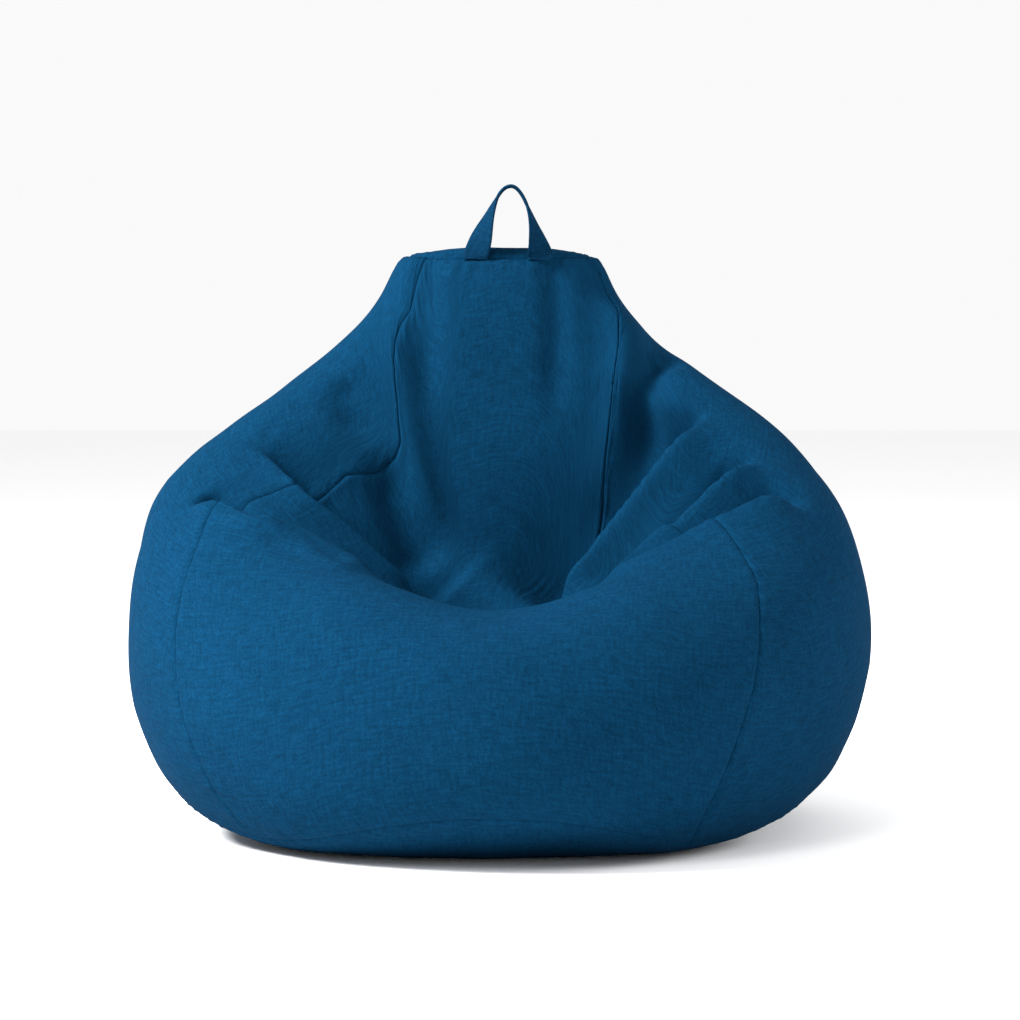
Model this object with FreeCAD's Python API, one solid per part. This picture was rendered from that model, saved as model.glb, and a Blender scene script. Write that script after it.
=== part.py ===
"""Bean bag chair: a sewn cloth cover with a carry loop, an inner bag and a bead filling.

The cover has four side panels, a small square top and a base. A zip runs across the back.
The inner bag repeats the same cut a little smaller, with its own zip.
Frame: millimetres, +Z up, front towards -Y, origin under the middle of the bag on the floor.
"""

import FreeCAD
import Part
import math
import os

Vector = FreeCAD.Vector

# Driving dimensions of the bag
HALF_WIDTH = 450.0
AXIS_Y = -4.0  # the upright axis that the round back turns about
CLOTH = 2.0  # cover cloth with its backing
LINER_CLOTH = 1.2
LINER_INSET = 10.0  # outer face of the inner bag, below the cover's face
FLOOR_INSET = 3.2  # the same where the bag stands on the floor
FILLING_INSET = 4.2  # room between the inner bag's cloth and the filling
SEAM_GAP = 1.0  # between two neighbouring panels' edges
TOP_SLOPE = -0.11  # the top panel falls towards the back
FRONT_FALL = 2.2  # how narrow the seat's dip is, as a power of the cosine

# The two front seams don't run straight up the bag: the filling pushes the front panel to the
# left. All in degrees, and directions run from the front towards the right.
SEAM_PUSH = 13.0
SEAM_PUSH_MIDDLE = -20.0  # direction where the push is greatest
SEAM_PUSH_REACH = 115.0  # to each side of that
# The base seam rises midway along each side and drops at the corners, in rows of poles.
BASE_SEAM_RISE = 0.75
BASE_SEAM_DROP = 0.55

# Zips
ZIP_Z = 245.0
ZIP_SLOT = 15.0  # gap between the two back panels
ZIP_TAPE_REACH = 14.0  # from the middle of the zip to the tape's edge
LINER_ZIP_Z = 214.0
LINER_ZIP_SLOT = 12.0
LINER_ZIP_TAPE_REACH = 12.0

# Slider bail and pull tab
BAIL_WIDTH = 2.4
BAIL_LENGTH = 9.0
BAIL_HEIGHT = 3.6
BAIL_WALL = 1.1
PULL_PIN = 1.5
PULL_CLEAR = 0.5
PULL_ARM = 1.6
PULL_THICK = 1.6
PULL_REACH = 7.0
PULL_LENGTH = 30.0
PULL_HOLE = 1.6

# Carry loop
STRAP_WIDTH = 33.0
STRAP_THICK = 4.0
LOOP_HEIGHT = 92.0
LOOP_X = 10.0  # the loop is sewn slightly to the right of the middle
LOOP_FOOT = 39.0  # half the distance between the middles of the two feet
LOOP_CLEAR = 1.6  # between a foot's round end and the top seam
LOOP_FORWARD = 1.2  # the feet stand this far in front of the seam's middle

# The shape, as rows of poles from the floor to the top. Each row holds its centre's y, how far
# it reaches to the front, the side and the back, its height there, and how square it is.
ROWS = [
    # centre, front, side, back, z front, z side, z back, squareness
    (0, 255, 262, 262, 0, 0, 0, 2.6),
    (0, 305, 312, 312, 0, 0, 0, 2.6),
    (0, 382, 382, 386, 22, 22, 22, 2.4),
    (0, 428, 422, 436, 78, 80, 80, 2.1),
    (0, 444, 442, 450, 135, 140, 140, 2.0),
    (0, 440, 450, 450, 187, 200, 200, 2.0),
    (0, 418, 450, 450, 240, 260, 260, 2.0),
    (0, 374, 441, 450, 286, 322, 320, 2.0),
    (25, 332, 420, 414, 312, 388, 385, 2.0),
    (60, 292, 378, 354, 300, 446, 446, 2.1),
    (95, 245, 315, 290, 252, 501, 502, 2.2),
    (125, 200, 247, 234, 222, 551, 552, 2.3),
    (150, 152, 188, 186, 290, 596, 594, 2.5),
    (172, 125, 160, 150, 420, 632, 628, 2.7),
    (187, 112, 144, 128, 548, 657, 652, 2.9),
    (197, 104, 131, 113, 655, 688, 678, 3.0),
    (203, 99, 117, 103, 709, 698, 687, 3.1),
    (204, 62, 72, 64, 705, 698, 691, 3.1),
]
TOP_ROW = len(ROWS) - 1
EDGE_ROW = TOP_ROW - 1
AROUND = 32  # poles around
PITCH = 360.0 / AROUND
BACK_LEFT = 225.0  # direction of the back left seam, counted from the front towards the right
GORE = AROUND // 4
ROUND_BACK_FROM = 90.0  # between these directions the side's shape turns into the round back
ROUND_BACK_TO = 118.0
# A cubic surface runs inside a round row of poles by this factor
ROUNDING = (4.0 + 2.0 * math.cos(math.radians(PITCH))) / 6.0
BASE_SEAM = 1.0  # surface parameter of the base seam
TOP_SEAM = 14.5  # and of the top seam
BACK_MIDDLE = AROUND - GORE / 2.0  # surface parameter around, at the middle of the back

os.makedirs("parts", exist_ok=True)


def export(name, *solids):
    shape = solids[0] if len(solids) == 1 else Part.makeCompound(list(solids))
    shape.exportStep("parts/" + name + ".step")
    box = shape.BoundBox
    print(
        f"{name}: valid {shape.isValid()}, {shape.Volume / 1000.0:.2f} cm3,"
        f" z {box.ZMin:.1f} to {box.ZMax:.1f}"
    )


def smooth(t):
    t = min(1.0, max(0.0, t))
    return t * t * (3.0 - 2.0 * t)


def signed_power(value, power):
    return math.copysign(abs(value) ** power, value)


# The bag's surface


def row_at(t):
    """A row's values at a fractional row number, on a smooth curve through the rows."""
    t = min(float(TOP_ROW), max(0.0, t))
    i = min(int(t), TOP_ROW - 1)
    f = t - i
    four = [ROWS[min(TOP_ROW, max(0, j))] for j in (i - 1, i, i + 1, i + 2)]
    return [
        0.5
        * (
            2.0 * q
            + (r - p) * f
            + (2.0 * p - 5.0 * q + 4.0 * r - s) * f**2
            + (3.0 * q - p - 3.0 * r + s) * f**3
        )
        for p, q, r, s in zip(*four)
    ]


def top_plane(y):
    edge = ROWS[EDGE_ROW]
    front_edge = edge[0] - edge[1]
    return edge[4] + TOP_SLOPE * (y - front_edge)


def body_point(degrees, t):
    """A point of the bag's outer shape, in a direction from the front and at a row number."""
    centre, front, side, back, z_front, z_side, z_back, square = row_at(t)
    angle = math.radians(degrees)
    ahead = math.cos(angle)
    turned = math.degrees(math.acos(max(-1.0, min(1.0, ahead))))
    backness = smooth((turned - ROUND_BACK_FROM) / (ROUND_BACK_TO - ROUND_BACK_FROM))
    power = 2.0 / square
    x = (side + (back - side) * backness) * signed_power(math.sin(angle), power)
    y = centre - (front if ahead > 0 else back) * signed_power(ahead, power)
    if t > EDGE_ROW:
        z = top_plane(y)
    elif ahead > 0:
        z = z_side + (z_front - z_side) * ahead**FRONT_FALL
    else:
        z = z_side + (z_back - z_side) * backness
    return Vector(x / ROUNDING, AXIS_Y + y / ROUNDING, max(0.0, z))


def pole_row(degrees, row):
    """The row number that a pole is taken at: the base seam rises and drops round the bag."""
    share = {1: 0.25, 2: 1.0, 3: 0.35}.get(row, 0.0)
    wave = 0.5 + 0.5 * math.cos(math.radians(4.0 * degrees))
    return row + share * (BASE_SEAM_RISE * wave - BASE_SEAM_DROP * (1.0 - wave))


def seam_push(degrees, row):
    """How far the front panel's cloth is pushed round the bag, at a pole."""
    away = (degrees - SEAM_PUSH_MIDDLE + 180.0) % 360.0 - 180.0
    if abs(away) > SEAM_PUSH_REACH:
        return 0.0
    bump = 0.5 + 0.5 * math.cos(math.pi * away / SEAM_PUSH_REACH)
    return -SEAM_PUSH * bump * smooth(row / 3.0) * smooth((12.0 - row) / 4.0)


def outward(degrees, t):
    """The unit normal of the shape, pointing out of the bag."""
    if t <= 1.0:
        return Vector(0, 0, -1)
    if t > EDGE_ROW:
        return Vector(0, -TOP_SLOPE, 1).normalize()
    step = 0.02
    along = body_point(degrees, t + step) - body_point(degrees, t - step)
    around = body_point(degrees + 1.0, t) - body_point(degrees - 1.0, t)
    return around.cross(along).normalize()


def surface(inset_at):
    """The bag's closed surface, moved inwards by inset_at(row)."""
    poles = []
    for i in range(AROUND):
        column = []
        for row in range(TOP_ROW + 1):
            # a pole acts one step after its own parameter
            degrees = BACK_LEFT + PITCH * (i - 1)
            degrees += seam_push(degrees, row)
            t = pole_row(degrees, row)
            column.append(body_point(degrees, t) - outward(degrees, t) * inset_at(row))
        poles.append(column)
    spans = TOP_ROW - 2
    made = Part.BSplineSurface()
    made.buildFromPolesMultsKnots(
        poles,
        [1] * (AROUND + 1),
        [4] + [1] * (spans - 1) + [4],
        list(range(AROUND + 1)),
        list(range(spans + 1)),
        True,
        False,
        3,
        3,
    )
    return made


def level_of(face, z):
    """The surface parameter where the back of the bag is at height z."""
    low, high = 2.0, 8.0
    while high - low > 1e-6:
        middle = (low + high) / 2.0
        if face.value(BACK_MIDDLE, middle).z < z:
            low = middle
        else:
            high = middle
    return low


# Cloth panels and the filling


def solid_from(faces, name):
    shell = Part.makeShell(faces)
    shell.sewShape()
    solid = Part.makeSolid(shell)
    if solid.Volume < 0:
        solid.reverse()
    if not (solid.isValid() and shell.isClosed()):
        print(name, "IS NOT CLOSED OR NOT VALID")
    return solid


def gore_panel(outer, inner, u0, u1, v0, v1, name):
    """A curved panel of cloth between two surfaces."""
    patches = []
    for whole in (outer, inner):
        patch = whole.copy()
        patch.segment(u0, u1, v0, v1)
        patches.append(patch)
    edges = [[patch.uIso(u) for patch in patches] for u in (u0, u1)]
    edges += [[patch.vIso(v) for patch in patches] for v in (v0, v1)]
    sides = [Part.makeRuledSurface(a.toShape(), b.toShape()) for a, b in edges]
    return solid_from([patch.toShape() for patch in patches] + sides, name)


def end_panel(outer, inner, v_end, v_seam, name):
    """A base or top panel: a flat middle with a curved margin up to its seam."""
    faces = []
    for whole in (outer, inner):
        margin = whole.copy()
        margin.segment(0, AROUND, min(v_end, v_seam), max(v_end, v_seam))
        faces.append(margin.toShape())
        faces.append(Part.Face(Part.Wire([whole.vIso(v_end).toShape()])))
    rim = [whole.vIso(v_seam).toShape() for whole in (outer, inner)]
    faces.append(Part.makeRuledSurface(rim[0], rim[1]))
    return solid_from(faces, name)


def cut_and_sewn(prefix, outer, inner, zip_z, zip_slot):
    """The seven panels of a bag, with a slot for a zip across its back."""
    half_gap = SEAM_GAP / 2.0
    around_gap = half_gap / (2.0 * math.pi * HALF_WIDTH / AROUND)
    base_gap = half_gap / 60.0  # the surface runs about 60 mm per unit at the base seam
    top_gap = half_gap / 22.0
    v_low, v_high = BASE_SEAM + base_gap, TOP_SEAM - top_gap
    v_under = level_of(outer, zip_z - zip_slot / 2.0)
    v_over = level_of(outer, zip_z + zip_slot / 2.0)
    gores = [
        ("left_panel", 0, v_low, v_high),
        ("front_panel", 1, v_low, v_high),
        ("right_panel", 2, v_low, v_high),
        ("back_lower_panel", 3, v_low, v_under),
        ("back_upper_panel", 3, v_over, v_high),
    ]
    for name, number, v0, v1 in gores:
        u0, u1 = number * GORE + around_gap, (number + 1) * GORE - around_gap
        export(prefix + name, gore_panel(outer, inner, u0, u1, v0, v1, prefix + name))
    for name, v_end, v_seam in (
        ("base_panel", 0.0, BASE_SEAM - base_gap),
        ("top_panel", TOP_ROW - 2.0, TOP_SEAM + top_gap),
    ):
        export(prefix + name, end_panel(outer, inner, v_end, v_seam, prefix + name))


def bead_filling(face):
    """The loose beads, as the closed shape that they fill."""
    ends = [Part.Face(Part.Wire([face.vIso(v).toShape()])) for v in (0.0, TOP_ROW - 2.0)]
    export("bead_filling", solid_from([face.toShape()] + ends, "bead_filling"))


# Zips, which run round the back on arcs about the bag's upright axis


def ring_sector(r0, r1, z0, z1, a0, a1):
    """A curved bar about the upright axis. Angles are in degrees from the back's middle."""
    corners = [Vector(r0, 0, z0), Vector(r1, 0, z0), Vector(r1, 0, z1), Vector(r0, 0, z1)]
    face = Part.Face(Part.makePolygon(corners + corners[:1]))
    bar = face.revolve(Vector(0, 0, 0), Vector(0, 0, 1), a1 - a0)
    bar.rotate(Vector(0, 0, 0), Vector(0, 0, 1), 90.0 + a0)
    bar.translate(Vector(0, AXIS_Y, 0))
    return bar


def tangent_box(radius, angle, along, through, upright, z):
    """A straight block set on the ring at an angle, from the given radius outwards."""
    block = Part.makeBox(along, through, upright, Vector(-along / 2.0, 0, -upright / 2.0))
    block.translate(Vector(0, radius, z))
    block.rotate(Vector(0, 0, 0), Vector(0, 0, 1), angle)
    block.translate(Vector(0, AXIS_Y, 0))
    return block


class Zip:
    """A coil zip bent round the back of a bag, at one height, in a slot between two panels."""

    TAPE = 0.8
    TAPE_SETBACK = 0.6  # behind the panels' inner faces
    SLIT = 1.6  # held open for the slider's post
    TAPE_SLIT = 2.0
    PLATE = 1.3
    POST = 1.0
    CLEAR = 0.3
    RIM = 1.3  # width of the slider's side flanges
    TUCK = 0.8  # degrees of tape past the panel's seams
    TAIL = 2.2  # degrees of tape without teeth at each end
    END_PLAY = 0.15  # degrees between the slider and a stop

    def __init__(self, prefix, face, cloth, z, tape_reach, coil_width, coil_thick):
        self.prefix = prefix
        self.z = z
        self.tape_reach = tape_reach
        self.coil_width = coil_width
        self.tape_face = face - cloth - self.TAPE_SETBACK
        self.coil_face = self.tape_face + coil_thick
        self.over = self.coil_face + self.CLEAR
        self.seat = self.over + self.PLATE  # the slider's outer face
        self.half_angle = 45.0 + self.TUCK
        self.chain_angle = self.half_angle - self.TAIL
        slider_length = 2.0 * coil_width + 8.0
        self.slider_half = math.degrees(slider_length / 2.0 / face)
        self.closed_at = self.chain_angle - self.slider_half - self.END_PLAY

    def halves(self):
        return (("upper", 1.0), ("lower", -1.0))

    def bar(self, r0, r1, near, far, side, a0, a1):
        """A curved bar above or below the middle of the zip."""
        z_a, z_b = self.z + side * near, self.z + side * far
        return ring_sector(r0, r1, min(z_a, z_b), max(z_a, z_b), a0, a1)

    def tapes(self):
        back, front = self.tape_face - self.TAPE, self.tape_face
        a = self.half_angle
        for word, side in self.halves():
            tape = self.bar(back, front, self.TAPE_SLIT / 2.0, self.tape_reach, side, -a, a)
            export(self.prefix + "zip_tape_" + word, tape)

    def coils(self):
        near = self.SLIT / 2.0
        a = self.chain_angle
        for word, side in self.halves():
            coil = self.bar(
                self.tape_face, self.coil_face, near, near + self.coil_width, side, -a, a
            )
            export(self.prefix + "zip_coil_" + word, coil)

    def stops(self):
        """A box over both coils at the closed end, and a staple on each coil at the open end."""
        reach = self.SLIT / 2.0 + self.coil_width
        low, high = self.tape_face, self.coil_face + 0.2
        box_end, staple_end = 0.6, 0.4
        start = self.chain_angle
        box = ring_sector(low, high, self.z - reach, self.z + reach, start, start + box_end)
        export(self.prefix + "zip_end_stop", box)
        near = self.TAPE_SLIT / 2.0
        staples = [
            self.bar(low, high, near, reach, side, -start - staple_end, -start)
            for _, side in self.halves()
        ]
        export(self.prefix + "zip_open_stops", *staples)

    def plate(self, r0, wide):
        """One plate of the slider, with its corners rounded through its thickness."""
        mid, span = self.closed_at, self.slider_half
        plate = ring_sector(
            r0, r0 + self.PLATE, self.z - wide, self.z + wide, mid - span, mid + span
        )
        corners = [e for e in plate.Edges if abs(e.Length - self.PLATE) < 0.01]
        return plate.makeFillet(0.45 * wide, corners)

    def slider(self, with_bail):
        """Two plates joined by a post between the coils, with side flanges, as one casting."""
        half = self.SLIT / 2.0 + self.coil_width + self.CLEAR
        wide = half + self.RIM
        mid, span = self.closed_at, self.slider_half
        under = self.tape_face - self.TAPE - self.CLEAR
        bite = 0.5  # the post and the flanges run into the plates
        half_post = self.POST / 2.0
        post = ring_sector(
            under - bite,
            self.over + bite,
            self.z - half_post,
            self.z + half_post,
            mid + 0.2 * span,
            mid + 0.7 * span,
        )
        low, high = self.tape_face + self.CLEAR, self.over + bite
        a0, a1 = mid - 0.6 * span, mid + 0.6 * span
        flanges = [self.bar(low, high, half, wide, side, a0, a1) for _, side in self.halves()]
        inner_plate = self.plate(under - self.PLATE, wide)
        casting = self.plate(self.over, wide).fuse([inner_plate, post] + flanges)
        if with_bail:
            casting = casting.fuse(self.bail())
        casting = casting.removeSplitter()
        export(self.prefix + "zip_slider", casting.Solids[0])

    def bail(self):
        """The arch on the slider that holds the pull's pin."""
        root = 0.4
        block = tangent_box(
            self.seat - root, self.closed_at, BAIL_LENGTH, BAIL_HEIGHT + root, BAIL_WIDTH, self.z
        )
        window = tangent_box(
            self.seat,
            self.closed_at,
            BAIL_LENGTH - 2.0 * BAIL_WALL,
            BAIL_HEIGHT - BAIL_WALL,
            2.0 * BAIL_WIDTH,
            self.z,
        )
        return block.cut(window)

    def pull(self):
        """The tab that lies along the zip, hooked under the bail by a cross pin."""
        axis_radius = self.seat + PULL_THICK / 2.0 + self.CLEAR
        half_pin = BAIL_WIDTH / 2.0 + PULL_CLEAR
        outer = half_pin + PULL_ARM
        half_thick = PULL_THICK / 2.0
        up = Vector(0, 0, 1)
        pin = Part.makeCylinder(PULL_PIN / 2.0, 2.0 * outer, Vector(0, 0, -outer), up)
        arms = []
        for z0 in (half_pin, -outer):
            arms.append(
                Part.makeBox(
                    PULL_REACH + 1.0, PULL_THICK, PULL_ARM, Vector(0, -half_thick, z0)
                )
            )
            arms.append(Part.makeCylinder(half_thick, PULL_ARM, Vector(0, 0, z0), up))
        blade = Part.makeBox(
            PULL_LENGTH - PULL_REACH,
            PULL_THICK,
            2.0 * outer,
            Vector(PULL_REACH, -half_thick, -outer),
        )
        far = [
            e
            for e in blade.Edges
            if abs(e.Length - PULL_THICK) < 0.01 and e.BoundBox.XMin > PULL_LENGTH - 0.1
        ]
        blade = blade.makeFillet(0.7 * outer, far)
        hole = Part.makeCylinder(
            PULL_HOLE, 2.0 * PULL_THICK, Vector(PULL_LENGTH - 5.0, -PULL_THICK, 0), Vector(0, 1, 0)
        )
        tab = blade.cut(hole).fuse([pin] + arms).removeSplitter()
        tab.translate(Vector(0, axis_radius, self.z))
        tab.rotate(Vector(0, 0, 0), Vector(0, 0, 1), self.closed_at)
        tab.translate(Vector(0, AXIS_Y, 0))
        export(self.prefix + "zip_pull_tab", tab.Solids[0])
        turn = math.radians(self.closed_at)
        x, y = -axis_radius * math.sin(turn), AXIS_Y + axis_radius * math.cos(turn)
        print(f"pull tab axis at x {x:.3f}, y {y:.3f}, z {self.z}")

    def make(self, with_pull):
        self.tapes()
        self.coils()
        self.stops()
        self.slider(with_pull)
        if with_pull:
            self.pull()
        travel = 2.0 * self.closed_at
        print(f"{self.prefix}zip slider: closed at {self.closed_at:.3f}, travel {travel:.2f}")


# Carry loop


def strap_section(centre, along, across):
    """A rectangle across the strap: its width lies in the direction across."""
    w = across * (STRAP_WIDTH / 2.0)
    t = along.cross(across).normalize() * (STRAP_THICK / 2.0)
    corners = [centre - w - t, centre + w - t, centre + w + t, centre - w + t]
    return Part.makePolygon(corners + corners[:1])


def carry_loop(base):
    """A strap sewn flat at both feet, turned a quarter on its way over the top."""
    height = LOOP_HEIGHT - STRAP_THICK
    steps = 16
    places = []
    for i in range(steps + 1):
        angle = math.pi * i / steps
        x = -LOOP_FOOT * math.cos(angle) * (1.0 - 0.35 * math.sin(angle))
        places.append(Vector(x, 0, height * math.sin(angle) ** 0.9))
    wires = []
    for i, place in enumerate(places):
        before, after = places[max(0, i - 1)], places[min(steps, i + 1)]
        along = (after - before).normalize()
        if i in (0, steps):
            along = Vector(0, 0, 1 if i == 0 else -1)
        # the width lies along the seam at the feet and across it from halfway up
        turned = math.radians(90.0 * smooth(min(i, steps - i) / (0.4 * steps)))
        flat = Vector(0, 1, 0).cross(along).normalize()
        across = flat * math.cos(turned) + Vector(0, 1, 0) * math.sin(turned)
        wires.append(strap_section(base + place, along, across))
    loop = Part.makeLoft(wires, True, True)
    for side in (-1.0, 1.0):
        start = base + Vector(side * LOOP_FOOT - STRAP_WIDTH / 2.0, 0, 0)
        foot = Part.makeCylinder(STRAP_THICK / 2.0, STRAP_WIDTH, start, Vector(1, 0, 0))
        loop = loop.fuse(foot)
    export("carry_loop", loop.Solids[0])
    print(f"carry loop folds about y {base.y:.3f}, z {base.z:.3f}")


def main():
    def liner_depth(row):
        return FLOOR_INSET + (LINER_INSET - FLOOR_INSET) * smooth((row - 1.0) / 3.0)

    cover = surface(lambda row: 0.0)
    cover_back = surface(lambda row: CLOTH)
    liner = surface(liner_depth)
    liner_back = surface(lambda row: liner_depth(row) + LINER_CLOTH)
    cut_and_sewn("", cover, cover_back, ZIP_Z, ZIP_SLOT)
    cut_and_sewn("liner_", liner, liner_back, LINER_ZIP_Z, LINER_ZIP_SLOT)
    bead_filling(surface(lambda row: liner_depth(row) + LINER_CLOTH + FILLING_INSET))
    back = cover.value(BACK_MIDDLE, level_of(cover, ZIP_Z)).y - AXIS_Y
    print(f"radius of the back at the zip {back:.3f}")
    Zip("", back, CLOTH, ZIP_Z, ZIP_TAPE_REACH, 3.0, 1.7).make(with_pull=True)
    liner_zip = Zip(
        "liner_", back - LINER_INSET, LINER_CLOTH, LINER_ZIP_Z, LINER_ZIP_TAPE_REACH, 2.4, 1.5
    )
    liner_zip.make(with_pull=False)
    front_of_top = cover.value(1.5 * GORE, TOP_SEAM)
    lift = STRAP_THICK / 2.0 + LOOP_CLEAR
    carry_loop(Vector(LOOP_X, front_of_top.y - LOOP_FORWARD, front_of_top.z + lift))


main()
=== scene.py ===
"""Bean bag chair: the looks of a sewn cloth cover, its carry loop, its zips and what is inside.

Everything is in metres in the frame of the CAD model: +Z up, front towards -Y.
"""

import functools
import math

import bpy
import numpy as np
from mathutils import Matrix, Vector
from mathutils.bvhtree import BVHTree


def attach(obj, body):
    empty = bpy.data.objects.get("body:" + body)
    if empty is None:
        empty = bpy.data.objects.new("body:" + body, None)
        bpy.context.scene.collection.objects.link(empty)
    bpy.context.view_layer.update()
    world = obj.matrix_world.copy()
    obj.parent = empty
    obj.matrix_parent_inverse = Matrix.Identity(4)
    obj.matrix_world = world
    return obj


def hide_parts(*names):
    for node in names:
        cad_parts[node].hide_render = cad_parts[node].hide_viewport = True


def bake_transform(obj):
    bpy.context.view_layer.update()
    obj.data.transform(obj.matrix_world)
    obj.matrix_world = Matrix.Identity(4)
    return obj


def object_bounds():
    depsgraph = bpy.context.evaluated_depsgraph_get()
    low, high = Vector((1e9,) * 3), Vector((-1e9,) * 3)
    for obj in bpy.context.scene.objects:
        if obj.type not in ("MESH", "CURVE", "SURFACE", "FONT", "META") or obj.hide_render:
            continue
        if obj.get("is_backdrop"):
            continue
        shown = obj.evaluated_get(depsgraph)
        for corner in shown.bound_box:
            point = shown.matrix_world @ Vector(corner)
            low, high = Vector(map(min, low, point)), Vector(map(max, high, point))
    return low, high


bl_info = {
    "name": "Bean Bag Chair",
    "version": (1, 0, 0),
    "blender": (4, 5, 0),
    "location": "View3D > Sidebar > Bean Bag",
    "description": "Builds the cloth, seams, carry loop and zips of a bean bag chair",
    "category": "Object",
}

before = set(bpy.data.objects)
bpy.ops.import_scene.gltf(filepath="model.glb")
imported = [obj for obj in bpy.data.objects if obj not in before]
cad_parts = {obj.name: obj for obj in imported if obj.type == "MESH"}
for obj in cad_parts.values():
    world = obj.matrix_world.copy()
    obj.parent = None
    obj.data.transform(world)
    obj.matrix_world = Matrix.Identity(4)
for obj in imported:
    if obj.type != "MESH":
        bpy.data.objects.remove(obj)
CAD_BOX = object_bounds()


# The bag's shape -------------------------------------------------------------------------

AXIS_Y = -0.004  # the upright axis that the round back turns about
TOP_SLOPE = -0.11  # of the top panel, from front to back
FRONT_FALL = 2.2  # how sharply the rows drop from the sides to the front
SEAM_PUSH = 13.0  # degrees by which the front seams move round the bag
SEAM_PUSH_MIDDLE = -20.0
SEAM_PUSH_REACH = 115.0
PUSH_IN = 3.0  # rows from the floor over which the push sets in
PUSH_END = 12.0  # the row where it has died out
PUSH_OUT = 4.0  # rows over which it dies out below that one
BASE_SEAM_RISE = 0.75  # in rows, at the middle of each side
BASE_SEAM_DROP = 0.55  # in rows, at each corner
BASE_SEAM_SHARES = {1: 0.25, 2: 1.0, 3: 0.35}  # how much of these each row takes
# Rows of poles from the floor up, in millimetres: centre's y, reach to the front, the side and
# the back, height at the front, the side and the back, and squareness.
ROWS = np.array([
    (0, 255, 262, 262, 0, 0, 0, 2.6),
    (0, 305, 312, 312, 0, 0, 0, 2.6),
    (0, 382, 382, 386, 22, 22, 22, 2.4),
    (0, 428, 422, 436, 78, 80, 80, 2.1),
    (0, 444, 442, 450, 135, 140, 140, 2.0),
    (0, 440, 450, 450, 187, 200, 200, 2.0),
    (0, 418, 450, 450, 240, 260, 260, 2.0),
    (0, 374, 441, 450, 286, 322, 320, 2.0),
    (25, 332, 420, 414, 312, 388, 385, 2.0),
    (60, 292, 378, 354, 300, 446, 446, 2.1),
    (95, 245, 315, 290, 252, 501, 502, 2.2),
    (125, 200, 247, 234, 222, 551, 552, 2.3),
    (150, 152, 188, 186, 290, 596, 594, 2.5),
    (172, 125, 160, 150, 420, 632, 628, 2.7),
    (187, 112, 144, 128, 548, 657, 652, 2.9),
    (197, 104, 131, 113, 655, 688, 678, 3.0),
    (203, 99, 117, 103, 709, 698, 687, 3.1),
    (204, 62, 72, 64, 705, 698, 691, 3.1),
], float)
ROWS[:, :7] *= 0.001
TOP_ROW = len(ROWS) - 1
EDGE_ROW = TOP_ROW - 1
AROUND = 32
GORE = AROUND // 4
PITCH = 360.0 / AROUND
BACK_LEFT = 225.0  # degrees from the front at which the first upright seam runs
ROUND_BACK_FROM = 90.0
ROUND_BACK_TO = 118.0
ROUNDING = (4.0 + 2.0 * math.cos(math.radians(PITCH))) / 6.0
BASE_SEAM = 1.0
TOP_SEAM = 14.5
V_END = TOP_ROW - 2.0
TINY = 1e-12
FAR_AWAY = 1e9


def smooth(t):
    t = np.clip(t, 0.0, 1.0)
    return t * t * (3.0 - 2.0 * t)


def signed_power(value, power):
    return math.copysign(abs(value) ** power, value)


def curve_through(p, q, r, s, f):
    """What a smooth curve through four values gives at a share f of the way from q to r."""
    return 0.5 * (
        2.0 * q
        + (r - p) * f
        + (2.0 * p - 5.0 * q + 4.0 * r - s) * f**2
        + (3.0 * q - p - 3.0 * r + s) * f**3
    )


def row_at(t):
    """A row's values at a fractional row number, on a smooth curve through the rows."""
    t = min(float(TOP_ROW), max(0.0, t))
    i = min(int(t), TOP_ROW - 1)
    four = (ROWS[min(TOP_ROW, max(0, j))] for j in (i - 1, i, i + 1, i + 2))
    return curve_through(*four, t - i)


def body_point(degrees, t):
    """A pole of the bag's shape, in a direction from the front and at a row number."""
    centre, front, side, back, z_front, z_side, z_back, square = row_at(t)
    angle = math.radians(degrees)
    ahead = math.cos(angle)
    turned = math.degrees(math.acos(max(-1.0, min(1.0, ahead))))
    backness = smooth((turned - ROUND_BACK_FROM) / (ROUND_BACK_TO - ROUND_BACK_FROM))
    power = 2.0 / square
    x = (side + (back - side) * backness) * signed_power(math.sin(angle), power)
    y = centre - (front if ahead > 0 else back) * signed_power(ahead, power)
    if t > EDGE_ROW:
        edge = ROWS[EDGE_ROW]
        z = edge[4] + TOP_SLOPE * (y - (edge[0] - edge[1]))
    elif ahead > 0:
        z = z_side + (z_front - z_side) * ahead**FRONT_FALL
    else:
        z = z_side + (z_back - z_side) * backness
    return x / ROUNDING, AXIS_Y + y / ROUNDING, max(0.0, z)


def make_poles():
    """The poles that the bag's shape is drawn to, in columns round it and rows up it."""
    poles = np.zeros((AROUND, TOP_ROW + 1, 3))
    for i in range(AROUND):
        for row in range(TOP_ROW + 1):
            degrees = BACK_LEFT + PITCH * (i - 1)
            away = (degrees - SEAM_PUSH_MIDDLE + 180.0) % 360.0 - 180.0
            if abs(away) < SEAM_PUSH_REACH:
                bump = 0.5 + 0.5 * math.cos(math.pi * away / SEAM_PUSH_REACH)
                bump = SEAM_PUSH * bump * smooth(row / PUSH_IN)
                degrees -= bump * smooth((PUSH_END - row) / PUSH_OUT)
            share = BASE_SEAM_SHARES.get(row, 0.0)
            wave = 0.5 + 0.5 * math.cos(math.radians(4.0 * degrees))
            t = row + share * (BASE_SEAM_RISE * wave - BASE_SEAM_DROP * (1.0 - wave))
            poles[i, row] = body_point(degrees, t)
    return poles


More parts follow.
